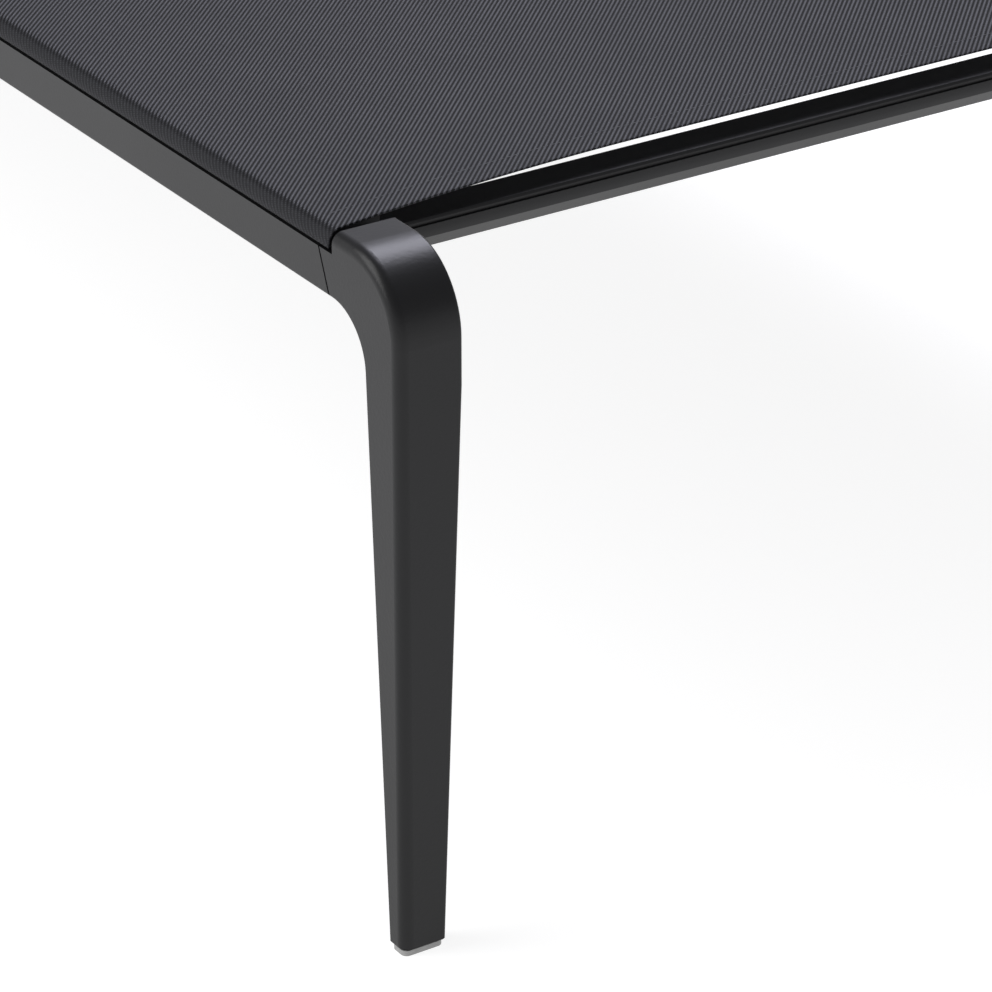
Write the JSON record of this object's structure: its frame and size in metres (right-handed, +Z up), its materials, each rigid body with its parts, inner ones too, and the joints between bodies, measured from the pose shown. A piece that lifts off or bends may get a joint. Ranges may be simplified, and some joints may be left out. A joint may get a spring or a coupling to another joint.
{
  "type": "reclining sun lounger",
  "caption": "Reclining sun lounger with a slim dark metal frame, tapered cast legs and stretched fabric slings; the backrest is propped by a stay in a latch rack.",
  "frame": {"origin": "on the floor, at the middle of the bed's plan", "axes": "+Z up, +Y from the foot end to the head end, +X across to the right as seen from the foot end"},
  "size_m": [0.7, 2, 0.33],
  "materials": {
    "frame_coating": "satin anthracite powder coat",
    "cast_leg_coating": "satin anthracite powder coat on a casting",
    "sling_fabric": "charcoal twill weave of coated yarn",
    "glide_plastic": "pale grey moulded plastic",
    "black_plastic": "black moulded plastic",
    "spline_plastic": "extruded plastic rod",
    "stainless_steel": "plain stainless"
  },
  "bodies": {
    "frame": {"crossbar_connector_foot_left": "frame_coating", "crossbar_connector_foot_right": "frame_coating", "crossbar_connector_head_left": "frame_coating", "crossbar_connector_head_right": "frame_coating", "crossbar_connector_hinge_left": "frame_coating", "crossbar_connector_hinge_right": "frame_coating", "crossbar_foot": "frame_coating", "crossbar_head": "frame_coating", "crossbar_hinge": "frame_coating", "fitting_screws": "stainless_steel", "glide_foot_left": "glide_plastic", "glide_foot_right": "glide_plastic", "glide_head_left": "glide_plastic", "glide_head_right": "glide_plastic", "latch_rack_left": "black_plastic", "latch_rack_right": "black_plastic", "leg_foot_left": "cast_leg_coating", "leg_foot_right": "cast_leg_coating", "leg_head_left": "cast_leg_coating", "leg_head_right": "cast_leg_coating", "leg_screws": "stainless_steel", "pivot_block_left": "black_plastic", "pivot_block_right": "black_plastic", "rest_block_left": "black_plastic", "rest_block_right": "black_plastic", "seat_sling": "sling_fabric", "seat_spline_left": "spline_plastic", "seat_spline_right": "spline_plastic", "side_rail_left": "frame_coating", "side_rail_right": "frame_coating", "spreader_hanger_left": "frame_coating", "spreader_hanger_right": "frame_coating", "spreader_tube": "frame_coating"},
    "backrest": {"back_sling": "sling_fabric", "back_spline_left": "spline_plastic", "back_spline_right": "spline_plastic", "backrest_bottom_bar": "frame_coating", "backrest_bottom_plug_left": "black_plastic", "backrest_bottom_plug_right": "black_plastic", "backrest_cap_bottom_left": "black_plastic", "backrest_cap_bottom_right": "black_plastic", "backrest_cap_top_left": "black_plastic", "backrest_cap_top_right": "black_plastic", "backrest_rail_left": "frame_coating", "backrest_rail_right": "frame_coating", "backrest_screws": "stainless_steel", "backrest_top_bar": "frame_coating", "backrest_top_plug_left": "black_plastic", "backrest_top_plug_right": "black_plastic", "hinge_pin_left": "stainless_steel", "hinge_pin_right": "stainless_steel", "hinge_spacer_left": "black_plastic", "hinge_spacer_right": "black_plastic", "stay_pivot_pin_left": "stainless_steel", "stay_pivot_pin_right": "stainless_steel"},
    "stay": {"latch_pin_left": "stainless_steel", "latch_pin_right": "stainless_steel", "stay_arm_left": "frame_coating", "stay_arm_right": "frame_coating", "stay_tube": "frame_coating"}
  },
  "joints": [
    {"name": "backrest_recline", "type": "hinge", "parent": "frame", "child": "backrest", "pos_m": [0, 0.19, 0.314], "axis": [1, 0, 0], "range_deg": [0, 65]},
    {"name": "stay_swing", "type": "hinge", "parent": "backrest", "child": "stay", "pos_m": [0, 0.52, 0.314], "axis": [1, 0, 0], "range_deg": [-130, 0]}
  ],
  "couplings": [
    {"joint": "stay_swing", "follows": "backrest_recline", "ratio": -2}
  ]
}
